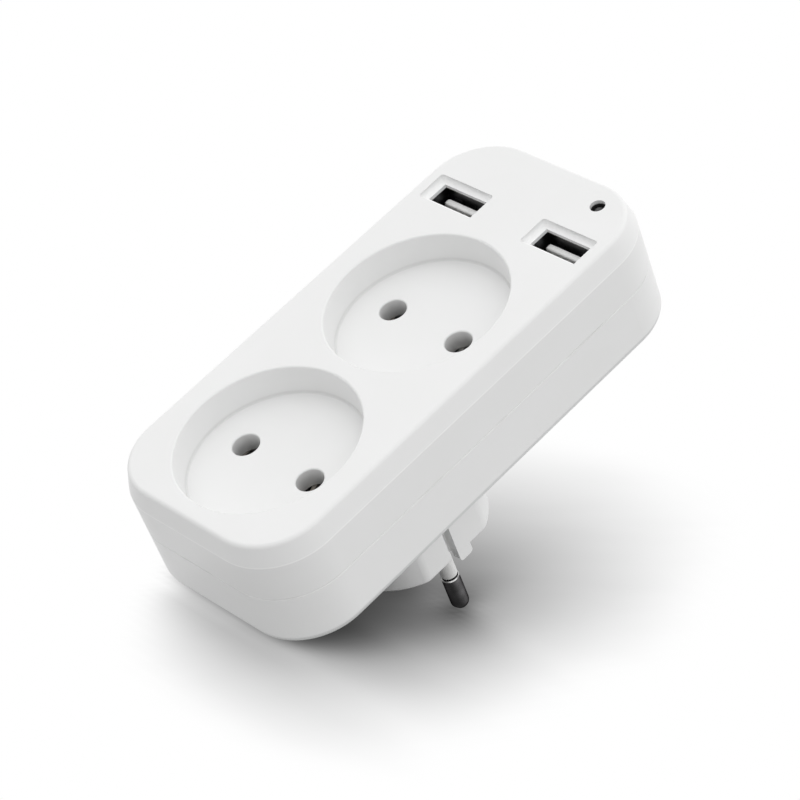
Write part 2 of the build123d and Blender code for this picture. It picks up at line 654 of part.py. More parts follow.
def flat_component(width, length, height, x, rise):
    return block(width, length, x, BOARD_BOTTOM_Z + rise, BOARD_BACK_Y, BOARD_BACK_Y + height)


def controller_chip():
    """A small control chip with a row of legs along each long side."""
    chip = flat_component(CHIP_WIDTH, CHIP_LENGTH, CHIP_HEIGHT, 0, CHIP_RISE)
    leg_span = CHIP_LENGTH + 2 * CHIP_LEG_REACH
    for row in range(CHIP_LEGS_PER_SIDE):
        x = (row - (CHIP_LEGS_PER_SIDE - 1) / 2) * CHIP_LEG_PITCH
        chip += flat_component(CHIP_LEG_WIDTH, leg_span, CHIP_LEG_HEIGHT, x, CHIP_RISE)
    return chip


def mains_lead(side):
    """A lead from the top of a contact strip, round behind the board to its pad."""
    strip_y = (STRIP_FRONT_Y + STRIP_BACK_Y) / 2
    behind_y = BOARD_BACK_Y + LEAD_STANDOFF
    route = (
        (side * STRIP_X, strip_y, STRIP_TOP_Z),
        (side * STRIP_X, strip_y, STRIP_TOP_Z + LEAD_RUN),
        (side * LEAD_PAD_X, behind_y, LEAD_PAD_Z - LEAD_RUN),
        (side * LEAD_PAD_X, behind_y, LEAD_PAD_Z),
        (side * LEAD_PAD_X, BOARD_BACK_Y, LEAD_PAD_Z),
    )
    start = Plane(origin=route[0], z_dir=(0, 0, 1))
    return sweep(start * Circle(LEAD_RADIUS), path=FilletPolyline(*route, radius=LEAD_BEND_RADIUS))


def cover_screw(x, z):
    """A pan-head screw with a cross slot, driven from the rear cover into a post of the front cover."""
    points = (
        (0, SCREW_TIP_Y),
        (SCREW_SHANK_RADIUS, SCREW_TIP_Y + SCREW_TIP_LENGTH),
        (SCREW_SHANK_RADIUS, SCREW_SEAT_Y),
        (SCREW_HEAD_RADIUS, SCREW_SEAT_Y),
        (SCREW_HEAD_RADIUS, SCREW_HEAD_Y),
        (0, SCREW_HEAD_Y),
    )
    screw = turned(points, x, z)
    screw = fillet(rear_face(screw).edges(), SCREW_HEAD_EDGE_RADIUS)
    slot_y = SCREW_HEAD_Y - SCREW_SLOT_DEPTH
    screw -= block(SCREW_SLOT_LENGTH, SCREW_SLOT_WIDTH, x, z, slot_y, SCREW_HEAD_Y)
    return screw - block(SCREW_SLOT_WIDTH, SCREW_SLOT_LENGTH, x, z, slot_y, SCREW_HEAD_Y)


def cover_screws():
    return Compound(children=[cover_screw(x, z) for x, z in SCREWS])


parts = {
    "front_cover": front_cover(),
    "rear_cover": rear_cover(),
    "indicator_lamp": indicator_lamp(),
    "circuit_board": circuit_board(),
    "transformer_core": transformer_core(),
    "transformer_winding": transformer_winding(),
    "input_capacitor": input_capacitor(),
    "output_capacitor": output_capacitor(),
    "noise_capacitor": noise_capacitor(),
    "fuse_resistor": fuse_resistor(),
    "bridge_rectifier": flat_component(BRIDGE_WIDTH, BRIDGE_LENGTH, BRIDGE_HEIGHT, BRIDGE_X, BRIDGE_RISE),
    "output_diode": flat_component(DIODE_WIDTH, DIODE_LENGTH, DIODE_HEIGHT, DIODE_X, DIODE_RISE),
    "controller_chip": controller_chip(),
    "cover_screws": cover_screws(),
}
for name, side in SIDES.items():
    parts[f"plug_pin_{name}"] = plug_pin(side)
    parts[f"pin_sleeve_{name}"] = pin_sleeve(side)
    parts[f"contact_strip_{name}"] = contact_strip(side)
    parts[f"usb_shell_{name}"] = usb_shell(side)
    parts[f"usb_tongue_{name}"] = usb_tongue(side)
    parts[f"usb_contacts_{name}"] = usb_contacts(side)
    parts[f"mains_lead_{name}"] = mains_lead(side)

os.makedirs("parts", exist_ok=True)
for node, part in parts.items():
    export_step(part, f"parts/{node}.step")
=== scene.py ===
import math

import bpy
from mathutils import Euler, Matrix, Vector
from mathutils.bvhtree import BVHTree


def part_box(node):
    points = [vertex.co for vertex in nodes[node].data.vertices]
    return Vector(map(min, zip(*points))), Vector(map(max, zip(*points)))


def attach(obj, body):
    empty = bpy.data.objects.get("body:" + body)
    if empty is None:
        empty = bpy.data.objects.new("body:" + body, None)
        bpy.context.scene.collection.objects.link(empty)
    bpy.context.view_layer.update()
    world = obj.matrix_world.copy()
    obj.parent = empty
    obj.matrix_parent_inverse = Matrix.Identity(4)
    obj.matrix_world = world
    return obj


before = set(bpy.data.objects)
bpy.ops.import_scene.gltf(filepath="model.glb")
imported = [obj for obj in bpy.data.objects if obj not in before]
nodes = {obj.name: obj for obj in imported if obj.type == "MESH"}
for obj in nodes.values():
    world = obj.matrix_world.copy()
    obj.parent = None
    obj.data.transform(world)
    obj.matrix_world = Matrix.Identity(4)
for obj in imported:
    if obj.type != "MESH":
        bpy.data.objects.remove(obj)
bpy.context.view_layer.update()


# Front cover: the moulded front shell with both socket wells, the port frames and the lamp hole.
# White thermoplastic from a satin mould. The port frames are painted paler as painted light, and the lamp
# hole is painted dark inside as painted shade.
# The pin holes are greyed deeper in and the foot of each well is greyed as painted shade, the ledge carries a
# painted highlight, and dust lies in the joint.
MM = 0.001
FINE_EDGE = 0.03 * MM
COLOUR_MIX_INPUTS = (0, 6, 7)
COLOUR_MIX_OUTPUT = 2
COVER_PALE = (0.885, 0.887, 0.885)
COVER_DEEP = (0.87, 0.872, 0.868)
GRAIN_DEPTH = 0.02 * MM
RUBS_PER_METRE = 420.0
RUB_TURN = (0.3, 0.5, 0.9)
RUB_STRETCH = (1.0, 3.5, 0.6)
RUB_SPAN = (0.56, 0.72)
RUB_DULLING = 0.12
LOWER_SOCKET_Z = -20.6 * MM
UPPER_SOCKET_Z = 21.9 * MM
HOLE_REACH = 3.2 * MM
HOLE_SOFT = 0.1 * MM
HOLE_Y = (-38.8 * MM, -34.8 * MM)
HOLE_SHADE = (0.49, 0.49, 0.485)
WELL_REACH = 19.8 * MM
WELL_FOOT = (18.45 * MM, 18.95 * MM)
WELL_FOOT_SOFT = 0.2 * MM
WELL_FOOT_Y = -39.5 * MM
WELL_FOOT_SHADE = (0.78, 0.78, 0.775)
LEDGE_Y = -40.8 * MM
LEDGE_HALF = 0.13 * MM
LEDGE_SOFT = 0.06 * MM
LEDGE_HIGHLIGHT = (0.985, 0.985, 0.98)
SEAM_Y = -31.75 * MM
SEAM_HALF = 0.22 * MM
SEAM_GREY = (0.79, 0.79, 0.785)
DRIFT_SIZE = 7 * MM
DRIFT_SPAN = (0.45, 0.6)
FRAME_HALF_X = 7.7 * MM
FRAME_HALF_Z = 3.8 * MM
FRAME_Y = -45.1 * MM
FRAME_SOFT = 0.2 * MM
FRAME_PAINTED_LIGHT = (0.965, 0.967, 0.965)
LAMP_HOLE_REACH = 1.75 * MM
LAMP_HOLE_Y = -44.75 * MM
LAMP_HOLE_SOFT = 0.1 * MM
LAMP_HOLE_SHADE = (0.03, 0.03, 0.03)


class Wiring:
    """A node tree that is put together one node at a time."""

    def __init__(self, tree):
        self.tree = tree
        tree.nodes.clear()

    def add(self, kind, inputs=None, **settings):
        """Add a node, set it up, and give each named or numbered input its value or its link."""
        node = self.tree.nodes.new(kind)
        for name, value in settings.items():
            setattr(node, name, value)
        for key, value in (inputs or {}).items():
            if isinstance(value, bpy.types.NodeSocket):
                self.tree.links.new(value, node.inputs[key])
            else:
                node.inputs[key].default_value = value
        return node

    def sum(self, operation, *values):
        """One number worked out from others, which may be plain or come from other nodes."""
        return self.add("ShaderNodeMath", dict(enumerate(values)), operation=operation).outputs[0]

    def away(self, value, place):
        """How far a value lies from a place, either way."""
        return self.sum("ABSOLUTE", self.sum("SUBTRACT", value, place))

    def distance(self, across, up):
        """How far a point lies from a centre, from its two distances."""
        squares = [self.sum("POWER", side, 2.0) for side in (across, up)]
        return self.sum("SQRT", self.sum("ADD", *squares))

    def fade(self, value, start, end, low=0.0, high=1.0):
        """A value's run from start to end brought to another range, and held at its ends."""
        spans = {"From Min": start, "From Max": end, "To Min": low, "To Max": high}
        return self.add("ShaderNodeMapRange", {"Value": value, **spans}).outputs["Result"]

    def past(self, value, limit, edge=FINE_EDGE):
        """A mask that is 1 where a value is over a limit."""
        return self.fade(value, limit - edge, limit + edge)

    def short_of(self, value, limit, edge=FINE_EDGE):
        """A mask that is 1 where a value is under a limit."""
        return self.fade(value, limit - edge, limit + edge, 1.0, 0.0)

    def near(self, value, place, reach, edge=FINE_EDGE):
        """A mask that is 1 where a value lies within reach of a place."""
        return self.short_of(self.away(value, place), reach, edge)

    def between(self, value, low, high, edge=FINE_EDGE):
        """A mask that is 1 where a value lies between two limits."""
        return self.near(value, 0.5 * (low + high), 0.5 * (high - low), edge)

    def all_of(self, first, second):
        """A mask that is 1 where two others both are."""
        return self.sum("MULTIPLY", first, second)


class Finish(Wiring):
    """A material with one shader, whose colour, gloss and relief are built up in layers."""

    def __init__(self, name):
        self.material = bpy.data.materials.new(name)
        self.material.use_nodes = True
        super().__init__(self.material.node_tree)
        self.shader = self.add("ShaderNodeBsdfPrincipled")
        self.add("ShaderNodeOutputMaterial", {"Surface": self.shader.outputs["BSDF"]})
        self.place = self.add("ShaderNodeTexCoord").outputs["Object"]
        self.x, self.y, self.z = self.add("ShaderNodeSeparateXYZ", {"Vector": self.place}).outputs
        self.colour = None
        self.normal = None

    def skin(self, group, sizes):
        """The outputs of a shared skin, placed on this surface with its own sizes."""
        node = self.add("ShaderNodeGroup", node_tree=group)
        self.tree.links.new(self.place, node.inputs["Place"])
        for name, value in sizes.items():
            node.inputs[name].default_value = value
        return node.outputs

    def patches(self, size, detail):
        """A soft change over the surface, in patches of about this size."""
        parts = {"Vector": self.place, "Scale": 1.0 / size, "Detail": detail}
        return self.add("ShaderNodeTexNoise", parts).outputs["Fac"]

    def tint(self, colour):
        """Make this the surface's colour."""
        self.colour = colour
        self.tree.links.new(colour, self.shader.inputs["Base Color"])

    def tones(self, mask, low, high, start=0.3, end=0.7):
        """Colour the surface from one tone to another over part of a mask's range."""
        ramp = self.add("ShaderNodeValToRGB", {"Fac": mask})
        for stop, place, tone in zip(ramp.color_ramp.elements, (start, end), (low, high)):
            stop.position = place
            stop.color = (*tone, 1.0)
        self.tint(ramp.outputs["Color"])

    def over(self, tone, mask):
        """Lay another tone over the colour where a mask is 1."""
        layer = self.add("ShaderNodeMix", data_type="RGBA")
        share, under, upper = (layer.inputs[index] for index in COLOUR_MIX_INPUTS)
        self.tree.links.new(mask, share)
        self.tree.links.new(self.colour, under)
        upper.default_value = (*tone, 1.0)
        self.tint(layer.outputs[COLOUR_MIX_OUTPUT])

    def vary(self, socket, mask, low, high):
        """Run one of the shader's numbers between two values as a mask goes from 0 to 1."""
        self.tree.links.new(self.fade(mask, 0.0, 1.0, low, high), self.shader.inputs[socket])

    def bare(self, tone, mask):
        """Show bare metal of this tone where a mask is 1."""
        self.over(tone, mask)
        self.vary("Metallic", mask, 0.0, 1.0)

    def relief(self, height, depth, strength):
        """Raise the surface by a mask, on top of any relief that it has."""
        bump = self.add("ShaderNodeBump", {"Height": height, "Distance": depth, "Strength": strength})
        if self.normal:
            self.tree.links.new(self.normal, bump.inputs["Normal"])
        self.normal = bump.outputs["Normal"]
        self.tree.links.new(self.normal, self.shader.inputs["Normal"])


def skin_group(name, inputs, outputs):
    """An empty shader group with its named sockets, ready to be wired."""
    group = bpy.data.node_groups.new(name, "ShaderNodeTree")
    for socket, kind in inputs.items():
        group.interface.new_socket(socket, in_out="INPUT", socket_type=f"NodeSocket{kind}")
    for socket in outputs:
        group.interface.new_socket(socket, in_out="OUTPUT", socket_type="NodeSocketFloat")
    wiring = Wiring(group)
    return wiring, wiring.add("NodeGroupInput").outputs


def moulded_skin_group():
    """Masks that any moulded plastic shares: grain, slow flow marks and handling rubs."""
    inputs = {"Place": "Vector", "Grain per metre": "Float", "Flow per metre": "Float"}
    wiring, given = skin_group("moulded_skin", inputs, ("Grain", "Flow", "Rub"))
    grain = wiring.add(
        "ShaderNodeTexNoise", {"Vector": given["Place"], "Scale": given["Grain per metre"], "Detail": 3.0}
    )
    flow = wiring.add(
        "ShaderNodeTexNoise",
        {"Vector": given["Place"], "Scale": given["Flow per metre"], "Detail": 2.0, "Distortion": 0.6},
    )
    swipe = wiring.add(
        "ShaderNodeMapping", {"Vector": given["Place"], "Rotation": RUB_TURN, "Scale": RUB_STRETCH}
    )
    rub = wiring.add(
        "ShaderNodeTexNoise", {"Vector": swipe.outputs["Vector"], "Scale": RUBS_PER_METRE, "Detail": 4.0}
    )
    worn = wiring.fade(rub.outputs["Fac"], *RUB_SPAN)
    wiring.add(
        "NodeGroupOutput", {"Grain": grain.outputs["Fac"], "Flow": flow.outputs["Fac"], "Rub": worn}
    )
    return wiring.tree


moulded_skin = moulded_skin_group()


def moulded_plastic(name, pale, deep, rough, grain, flow, bump):
    """A moulded plastic in two near tones, with grain and flow marks of these sizes."""
    finish = Finish(name)
    sizes = {"Grain per metre": 1.0 / grain, "Flow per metre": 1.0 / flow}
    skin = finish.skin(moulded_skin, sizes)
    finish.tones(skin["Flow"], deep, pale)
    finish.vary("Roughness", skin["Rub"], rough, rough + RUB_DULLING)
    finish.relief(skin["Grain"], GRAIN_DEPTH, bump)
    return finish


def cover_plastic(name):
    """The covers' white plastic, with a little dust here and there in the parting line between them."""
    finish = moulded_plastic(
        name, COVER_PALE, COVER_DEEP, rough=0.34, grain=0.22 * MM, flow=21 * MM, bump=0.25
    )
    drift = finish.fade(finish.patches(DRIFT_SIZE, detail=1.0), *DRIFT_SPAN)
    finish.over(SEAM_GREY, finish.all_of(finish.near(finish.y, SEAM_Y, SEAM_HALF), drift))
    return finish


def dress(finish, *names):
    """Give a finish to the solids of these names."""
    for name in names:
        nodes[name].material_slots[0].material = finish.material


def middle(name):
    """The middle of a solid."""
    low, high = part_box(name)
    return 0.5 * (low + high)


pin_place = middle("plug_pin_right")
port_place = middle("usb_shell_right")
lamp_place = middle("indicator_lamp")
sockets_middle = 0.5 * (UPPER_SOCKET_Z + LOWER_SOCKET_Z)
sockets_half = 0.5 * (UPPER_SOCKET_Z - LOWER_SOCKET_Z)

front_white = cover_plastic("satin_white_front")
from_middle = front_white.away(front_white.x, 0.0)
from_socket = front_white.away(front_white.away(front_white.z, sockets_middle), sockets_half)
in_hole = front_white.all_of(
    front_white.near(from_middle, pin_place.x, HOLE_REACH, HOLE_SOFT),
    front_white.short_of(from_socket, HOLE_REACH, HOLE_SOFT),
)
# The pin holes are greyed deeper in as painted shade.
front_white.over(HOLE_SHADE, front_white.all_of(in_hole, front_white.fade(front_white.y, *HOLE_Y)))

from_well = front_white.distance(from_middle, from_socket)
# A grey line at the foot of each well is painted shade.
shaded_foot = front_white.all_of(
    front_white.between(from_well, *WELL_FOOT, WELL_FOOT_SOFT),
    front_white.past(front_white.y, WELL_FOOT_Y, WELL_FOOT_SOFT),
)
front_white.over(WELL_FOOT_SHADE, shaded_foot)

# The port frames are painted paler than the cover, as painted light.
in_frame = front_white.all_of(
    front_white.near(from_middle, port_place.x, FRAME_HALF_X),
    front_white.near(front_white.z, port_place.z, FRAME_HALF_Z),
)
below_face = front_white.past(front_white.y, FRAME_Y, FRAME_SOFT)
front_white.over(FRAME_PAINTED_LIGHT, front_white.all_of(in_frame, below_face))

# The inside of the lamp hole is painted near black as painted shade.
from_lamp = front_white.distance(
    front_white.away(front_white.x, lamp_place.x), front_white.away(front_white.z, lamp_place.z)
)
shaded_lamp_hole = front_white.all_of(
    front_white.short_of(from_lamp, LAMP_HOLE_REACH),
    front_white.past(front_white.y, LAMP_HOLE_Y, LAMP_HOLE_SOFT),
)
front_white.over(LAMP_HOLE_SHADE, shaded_lamp_hole)

# A pale line along the ledge is a painted highlight.
ledge_highlight = front_white.all_of(
    front_white.near(front_white.y, LEDGE_Y, LEDGE_HALF, LEDGE_SOFT),
    front_white.past(from_well, WELL_REACH),
)
front_white.over(LEDGE_HIGHLIGHT, ledge_highlight)
dress(front_white, "front_cover")


# Circuit board: the charger's board behind the ports, a glass-fibre laminate with copper tracks
# under a green lacquer. It is sawn from a sheet, so its edges show the bare tan laminate.
LACQUER_DEEP = (0.012, 0.07, 0.032)
LACQUER_PALE = (0.017, 0.095, 0.044)
TRACK_GREEN = (0.04, 0.19, 0.085)
TRACK_DEPTH = 0.03 * MM
TRACK_HALF = 0.22 * MM
TRACK_PITCH = 1.35 * MM
LINK_PITCH = 8.5 * MM
LINK_STAGGER = 0.37
AREA_SIZE = 11 * MM
AREA_SPAN = (0.49, 0.51)
LAMINATE_TAN = (0.42, 0.34, 0.16)
LACQUER_THICKNESS = 0.06 * MM

board_low, board_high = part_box("circuit_board")
lacquer = moulded_plastic(
    "green_lacquer", LACQUER_PALE, LACQUER_DEEP, rough=0.32, grain=0.3 * MM, flow=6 * MM, bump=0.2
)


def tracks(along, across):
    """A mask of straight copper tracks side by side, with a few short links between them."""
    flat = lacquer.add("ShaderNodeCombineXYZ", {"X": along, "Y": across}).outputs["Vector"]
    sizes = {"Scale": 1.0, "Mortar Size": TRACK_HALF, "Brick Width": LINK_PITCH, "Row Height": TRACK_PITCH}
    return lacquer.add("ShaderNodeTexBrick", {"Vector": flat, **sizes}, offset=LINK_STAGGER).outputs["Fac"]


sideways = lacquer.fade(lacquer.patches(AREA_SIZE, detail=0.0), *AREA_SPAN)
upwards = lacquer.sum("SUBTRACT", 1.0, sideways)
track = lacquer.sum(
    "ADD",
    lacquer.all_of(sideways, tracks(lacquer.x, lacquer.z)),
    lacquer.all_of(upwards, tracks(lacquer.z, lacquer.x)),
)
lacquer.over(TRACK_GREEN, track)
lacquer.relief(track, TRACK_DEPTH, strength=0.6)
sawn = lacquer.between(lacquer.y, board_low.y + LACQUER_THICKNESS, board_high.y - LACQUER_THICKNESS)
lacquer.over(LAMINATE_TAN, sawn)
dress(lacquer, "circuit_board")


# Transformer: a fired ferrite frame, and a winding of enamelled wire round its middle leg under
# turns of amber polyester tape. The black moulded bobbin's foot is glued down on the board.
FERRITE_PALE = (0.035, 0.034, 0.035)
FERRITE_DEEP = (0.02, 0.02, 0.021)
TAPE_PALE = (0.72, 0.46, 0.05)
TAPE_DEEP = (0.5, 0.28, 0.02)
TAPE_PITCH = 0.9 * MM
TAPE_STEP = 0.08 * MM
TAPE_ROUGH = 0.28
BOBBIN_ROUGH = 0.5
BOBBIN_BLACK = (0.02, 0.02, 0.021)
BOBBIN_FOOT_Y = -32.1 * MM

ferrite = moulded_plastic(
    "fired_ferrite", FERRITE_PALE, FERRITE_DEEP, rough=0.6, grain=0.12 * MM, flow=2 * MM, bump=0.8
)
dress(ferrite, "transformer_core")

tape = Finish("amber_tape")
turn = tape.sum("PINGPONG", tape.sum("DIVIDE", tape.z, TAPE_PITCH), 1.0)
tape.tones(turn, TAPE_DEEP, TAPE_PALE, start=0.0, end=0.5)
foot = tape.past(tape.y, BOBBIN_FOOT_Y)
tape.over(BOBBIN_BLACK, foot)
tape.vary("Roughness", foot, TAPE_ROUGH, BOBBIN_ROUGH)
tape.relief(turn, TAPE_STEP, strength=0.7)
dress(tape, "transformer_winding")


# Capacitors: two round electrolytic cans in a dark shrink sleeve with a pale stripe along the negative
# side, lying on the board, and one small capacitor dipped in blue resin. Their bare ends are aluminium.
SLEEVE_DARK = (0.013, 0.015, 0.024)
SLEEVE_EDGE = (0.02, 0.023, 0.034)
STRIPE_GREY = (0.5, 0.5, 0.48)
STRIPE_HALF = 1.1 * MM
CAN_ALUMINIUM = (0.72, 0.72, 0.71)
CAN_END = 0.05 * MM
DIP_PALE = (0.03, 0.1, 0.36)
DIP_DEEP = (0.02, 0.065, 0.26)
DIP_COAT = 0.4

for can in ("input_capacitor", "output_capacitor"):
    shrink = moulded_plastic(
        f"{can}_sleeve", SLEEVE_EDGE, SLEEVE_DARK, rough=0.24, grain=0.5 * MM, flow=5 * MM, bump=0.15
    )
    axis = middle(can)
    stripe = shrink.all_of(shrink.near(shrink.z, axis.z, STRIPE_HALF), shrink.past(shrink.y, axis.y))
    shrink.over(STRIPE_GREY, stripe)
    shrink.bare(CAN_ALUMINIUM, shrink.past(shrink.x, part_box(can)[1].x - CAN_END))
    dress(shrink, can)

blue_dip = moulded_plastic(
    "blue_resin_dip", DIP_PALE, DIP_DEEP, rough=0.18, grain=0.8 * MM, flow=1.6 * MM, bump=0.5
)
blue_dip.shader.inputs["Coat Weight"].default_value = DIP_COAT
dress(blue_dip, "noise_capacitor")


# Fuse resistor: a wire-wound resistor in grey-green cement, which burns open on a fault.
# Its value is painted round it in colour bands, and it lies on the board by its two wire ends.
CEMENT_PALE = (0.11, 0.22, 0.18)
CEMENT_DEEP = (0.075, 0.16, 0.13)
BAND_HALF = 0.4 * MM
COLOUR_BANDS = (
    (1.8 * MM, (0.12, 0.045, 0.015)),
    (3.2 * MM, (0.01, 0.01, 0.01)),
    (4.6 * MM, (0.012, 0.012, 0.013)),
    (6.4 * MM, (0.5, 0.33, 0.06)),
)

cement = moulded_plastic(
    "resistor_cement", CEMENT_PALE, CEMENT_DEEP, rough=0.55, grain=0.25 * MM, flow=2 * MM, bump=0.7
)
first_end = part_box("fuse_resistor")[0].x
for from_end, paint in COLOUR_BANDS:
    cement.over(paint, cement.near(cement.x, first_end + from_end, BAND_HALF))
dress(cement, "fuse_resistor")


# Rectifier, diode and control chip: silicon in moulded black epoxy, flat on the back of the board.
# The chip has tinned legs and a dot by its first leg, and the diode a pale band at its cathode.
EPOXY_PALE = (0.03, 0.03, 0.032)
EPOXY_DEEP = (0.019, 0.019, 0.02)
CATHODE_X = (4.5 * MM, 5.2 * MM)
CATHODE_GREY = (0.55, 0.55, 0.53)
TIN = (0.62, 0.61, 0.59)
CHIP_HALF = 2.0 * MM
DOT_FROM_MIDDLE = (-1.7 * MM, -1.2 * MM)
DOT_RADIUS = 0.37 * MM
DOT_GREY = (0.16, 0.16, 0.16)


def black_epoxy(name):
    """The dull black epoxy that these parts are moulded in."""
    return moulded_plastic(
        name, EPOXY_PALE, EPOXY_DEEP, rough=0.45, grain=0.1 * MM, flow=1.5 * MM, bump=0.6
    )


dress(black_epoxy("rectifier_epoxy"), "bridge_rectifier")

diode_epoxy = black_epoxy("diode_epoxy")
diode_epoxy.over(CATHODE_GREY, diode_epoxy.between(diode_epoxy.x, *CATHODE_X))
dress(diode_epoxy, "output_diode")

chip_place = middle("controller_chip")
chip_epoxy = black_epoxy("chip_epoxy")
from_dot = chip_epoxy.distance(
    chip_epoxy.away(chip_epoxy.x, chip_place.x + DOT_FROM_MIDDLE[0]),
    chip_epoxy.away(chip_epoxy.z, chip_place.z + DOT_FROM_MIDDLE[1]),
)
chip_epoxy.over(DOT_GREY, chip_epoxy.short_of(from_dot, DOT_RADIUS))
along_leg = chip_epoxy.away(chip_epoxy.z, chip_place.z)
chip_epoxy.bare(TIN, chip_epoxy.past(along_leg, CHIP_HALF + FINE_EDGE))
dress(chip_epoxy, "controller_chip")


# Component leads: tinned copper wires that come out of the cans, the resistor, the rectifier and the
# diode, and are bent down on to the back of the board. Each stands in a small cone of solder, as do
# the mains leads on their pads and the lamp's two legs on the board's front.
WIRE_DULL = (0.52, 0.51, 0.49)
WIRE_RADIUS = 0.27 * MM
WIRE_SIDES = 10
WIRE_BEND = 0.4 * MM
BEND_STEPS = 5
# Each row is a solid, its end in x, half the spacing of the wires there, and how far out they bend.
WIRES = (
    ("input_capacitor", -1, 1.75 * MM, 1.3 * MM),
    ("output_capacitor", -1, 1.25 * MM, 1.3 * MM),
    ("fuse_resistor", -1, 0.0, 0.9 * MM),
    ("fuse_resistor", 1, 0.0, 0.9 * MM),
    ("bridge_rectifier", -1, 1.3 * MM, 0.45 * MM),
    ("bridge_rectifier", 1, 1.3 * MM, 0.6 * MM),
    ("output_diode", -1, 0.0, 0.6 * MM),
    ("output_diode", 1, 0.0, 0.6 * MM),
)
SOLDER_BRIGHT = (0.66, 0.66, 0.65)
SOLDER_DULL = (0.52, 0.52, 0.51)
JOINT_FOOT = 0.75 * MM
JOINT_TOP = 0.34 * MM
JOINT_HEIGHT = 0.6 * MM
JOINT_HOLLOW = 2.5
JOINT_RINGS = 8
JOINT_SIDES = 14
WIRE_JOINT_SIZE = 0.72
MAINS_JOINT_SIZE = 1.7
LAMP_JOINT_SIZE = 1.0
MAINS_PAD_X = 15.4 * MM
MAINS_PAD_Z = 46.6 * MM
LAMP_LEG_X = 0.9 * MM
LINE_DEPTH = 0.008 * MM
LINE_GLOSS = 0.08
EVEN = (1.0, 1.0, 1.0)


def metal_skin_group():
    """Masks that any worked metal shares: fine lines one way, and slow clouds in its shine."""
    inputs = {"Place": "Vector", "Stretch": "Vector", "Lines per metre": "Float", "Clouds per metre": "Float"}
    wiring, given = skin_group("metal_skin", inputs, ("Lines", "Clouds"))
    drawn = wiring.add("ShaderNodeMapping", {"Vector": given["Place"], "Scale": given["Stretch"]})
    lines = wiring.add(
        "ShaderNodeTexNoise",
        {"Vector": drawn.outputs["Vector"], "Scale": given["Lines per metre"], "Detail": 3.0},
    )
    clouds = wiring.add(
        "ShaderNodeTexNoise",
        {"Vector": given["Place"], "Scale": given["Clouds per metre"], "Detail": 2.0},
    )
    wiring.add("NodeGroupOutput", {"Lines": lines.outputs["Fac"], "Clouds": clouds.outputs["Fac"]})
    return wiring.tree


metal_skin = metal_skin_group()


def worked_metal(name, pale, deep, rough, lines, clouds, stretch=EVEN):
    """A metal in two near tones, with working lines and clouds of these sizes."""
    finish = Finish(name)
    finish.shader.inputs["Metallic"].default_value = 1.0
    sizes = {"Stretch": stretch, "Lines per metre": 1.0 / lines, "Clouds per metre": 1.0 / clouds}
    skin = finish.skin(metal_skin, sizes)
    finish.tones(skin["Clouds"], deep, pale)
    finish.vary("Roughness", skin["Lines"], rough - LINE_GLOSS, rough + LINE_GLOSS)
    finish.relief(skin["Lines"], LINE_DEPTH, strength=0.4)
    return finish


class Recipe(Wiring):
    """A tree that makes a piece from points and lines, with a named input for each of its sizes."""

    def __init__(self, name, sizes):
        tree = bpy.data.node_groups.new(name, "GeometryNodeTree")
        super().__init__(tree)
        face = tree.interface
        face.new_socket("Guide", in_out="INPUT", socket_type="NodeSocketGeometry")
        for size in sizes:
            face.new_socket(size, in_out="INPUT", socket_type="NodeSocketFloat")
        face.new_socket("Finish", in_out="INPUT", socket_type="NodeSocketMaterial")
        face.new_socket("Piece", in_out="OUTPUT", socket_type="NodeSocketGeometry")
        self.given = self.add("NodeGroupInput").outputs

    def mark(self, name):
        """A number that each point of the guide carries."""
        return self.add("GeometryNodeInputNamedAttribute", {"Name": name}, data_type="FLOAT").outputs[0]

    def run(self):
        """How far along its curve a point lies, from 0 to 1."""
        return self.add("GeometryNodeSplineParameter").outputs["Factor"]

    def vector(self, **parts):
        """A vector with these parts, and 0 for the rest."""
        return self.add("ShaderNodeCombineXYZ", parts).outputs["Vector"]

    def line(self, start, end, points):
        """A straight curve with this many points."""
        straight = self.add("GeometryNodeCurvePrimitiveLine", {"Start": start, "End": end}).outputs["Curve"]
        return self.add("GeometryNodeResampleCurve", {"Curve": straight, "Count": points}).outputs["Curve"]

    def ring(self, sides, radius):
        """A round profile with this many sides."""
        parts = {"Resolution": sides, "Radius": radius}
        return self.add("GeometryNodeCurvePrimitiveCircle", parts).outputs["Curve"]

    def swept(self, curve, profile, scale=1.0):
        """A closed solid with this profile along a curve."""
        parts = {"Curve": curve, "Profile Curve": profile, "Scale": scale, "Fill Caps": True}
        return self.add("GeometryNodeCurveToMesh", parts).outputs["Mesh"]

    def set_out(self, solid, turn, scale=EVEN):
        """A copy of a solid on each point of the guide."""
        turned = self.add("FunctionNodeEulerToRotation", {"Euler": turn}).outputs["Rotation"]
        parts = {"Points": self.given["Guide"], "Instance": solid, "Rotation": turned, "Scale": scale}
        return self.add("GeometryNodeInstanceOnPoints", parts).outputs["Instances"]

    def end(self, shape, smooth):
        """Make the shape plain and give it its finish."""
        plain = self.add("GeometryNodeRealizeInstances", {"Geometry": shape}).outputs["Geometry"]
        soft = self.add("GeometryNodeSetShadeSmooth", {"Geometry": plain, "Shade Smooth": smooth})
        coat = {"Geometry": soft.outputs["Geometry"], "Material": self.given["Finish"]}
        dressed = self.add("GeometryNodeSetMaterial", coat).outputs["Geometry"]
        self.add("NodeGroupOutput", {"Piece": dressed})


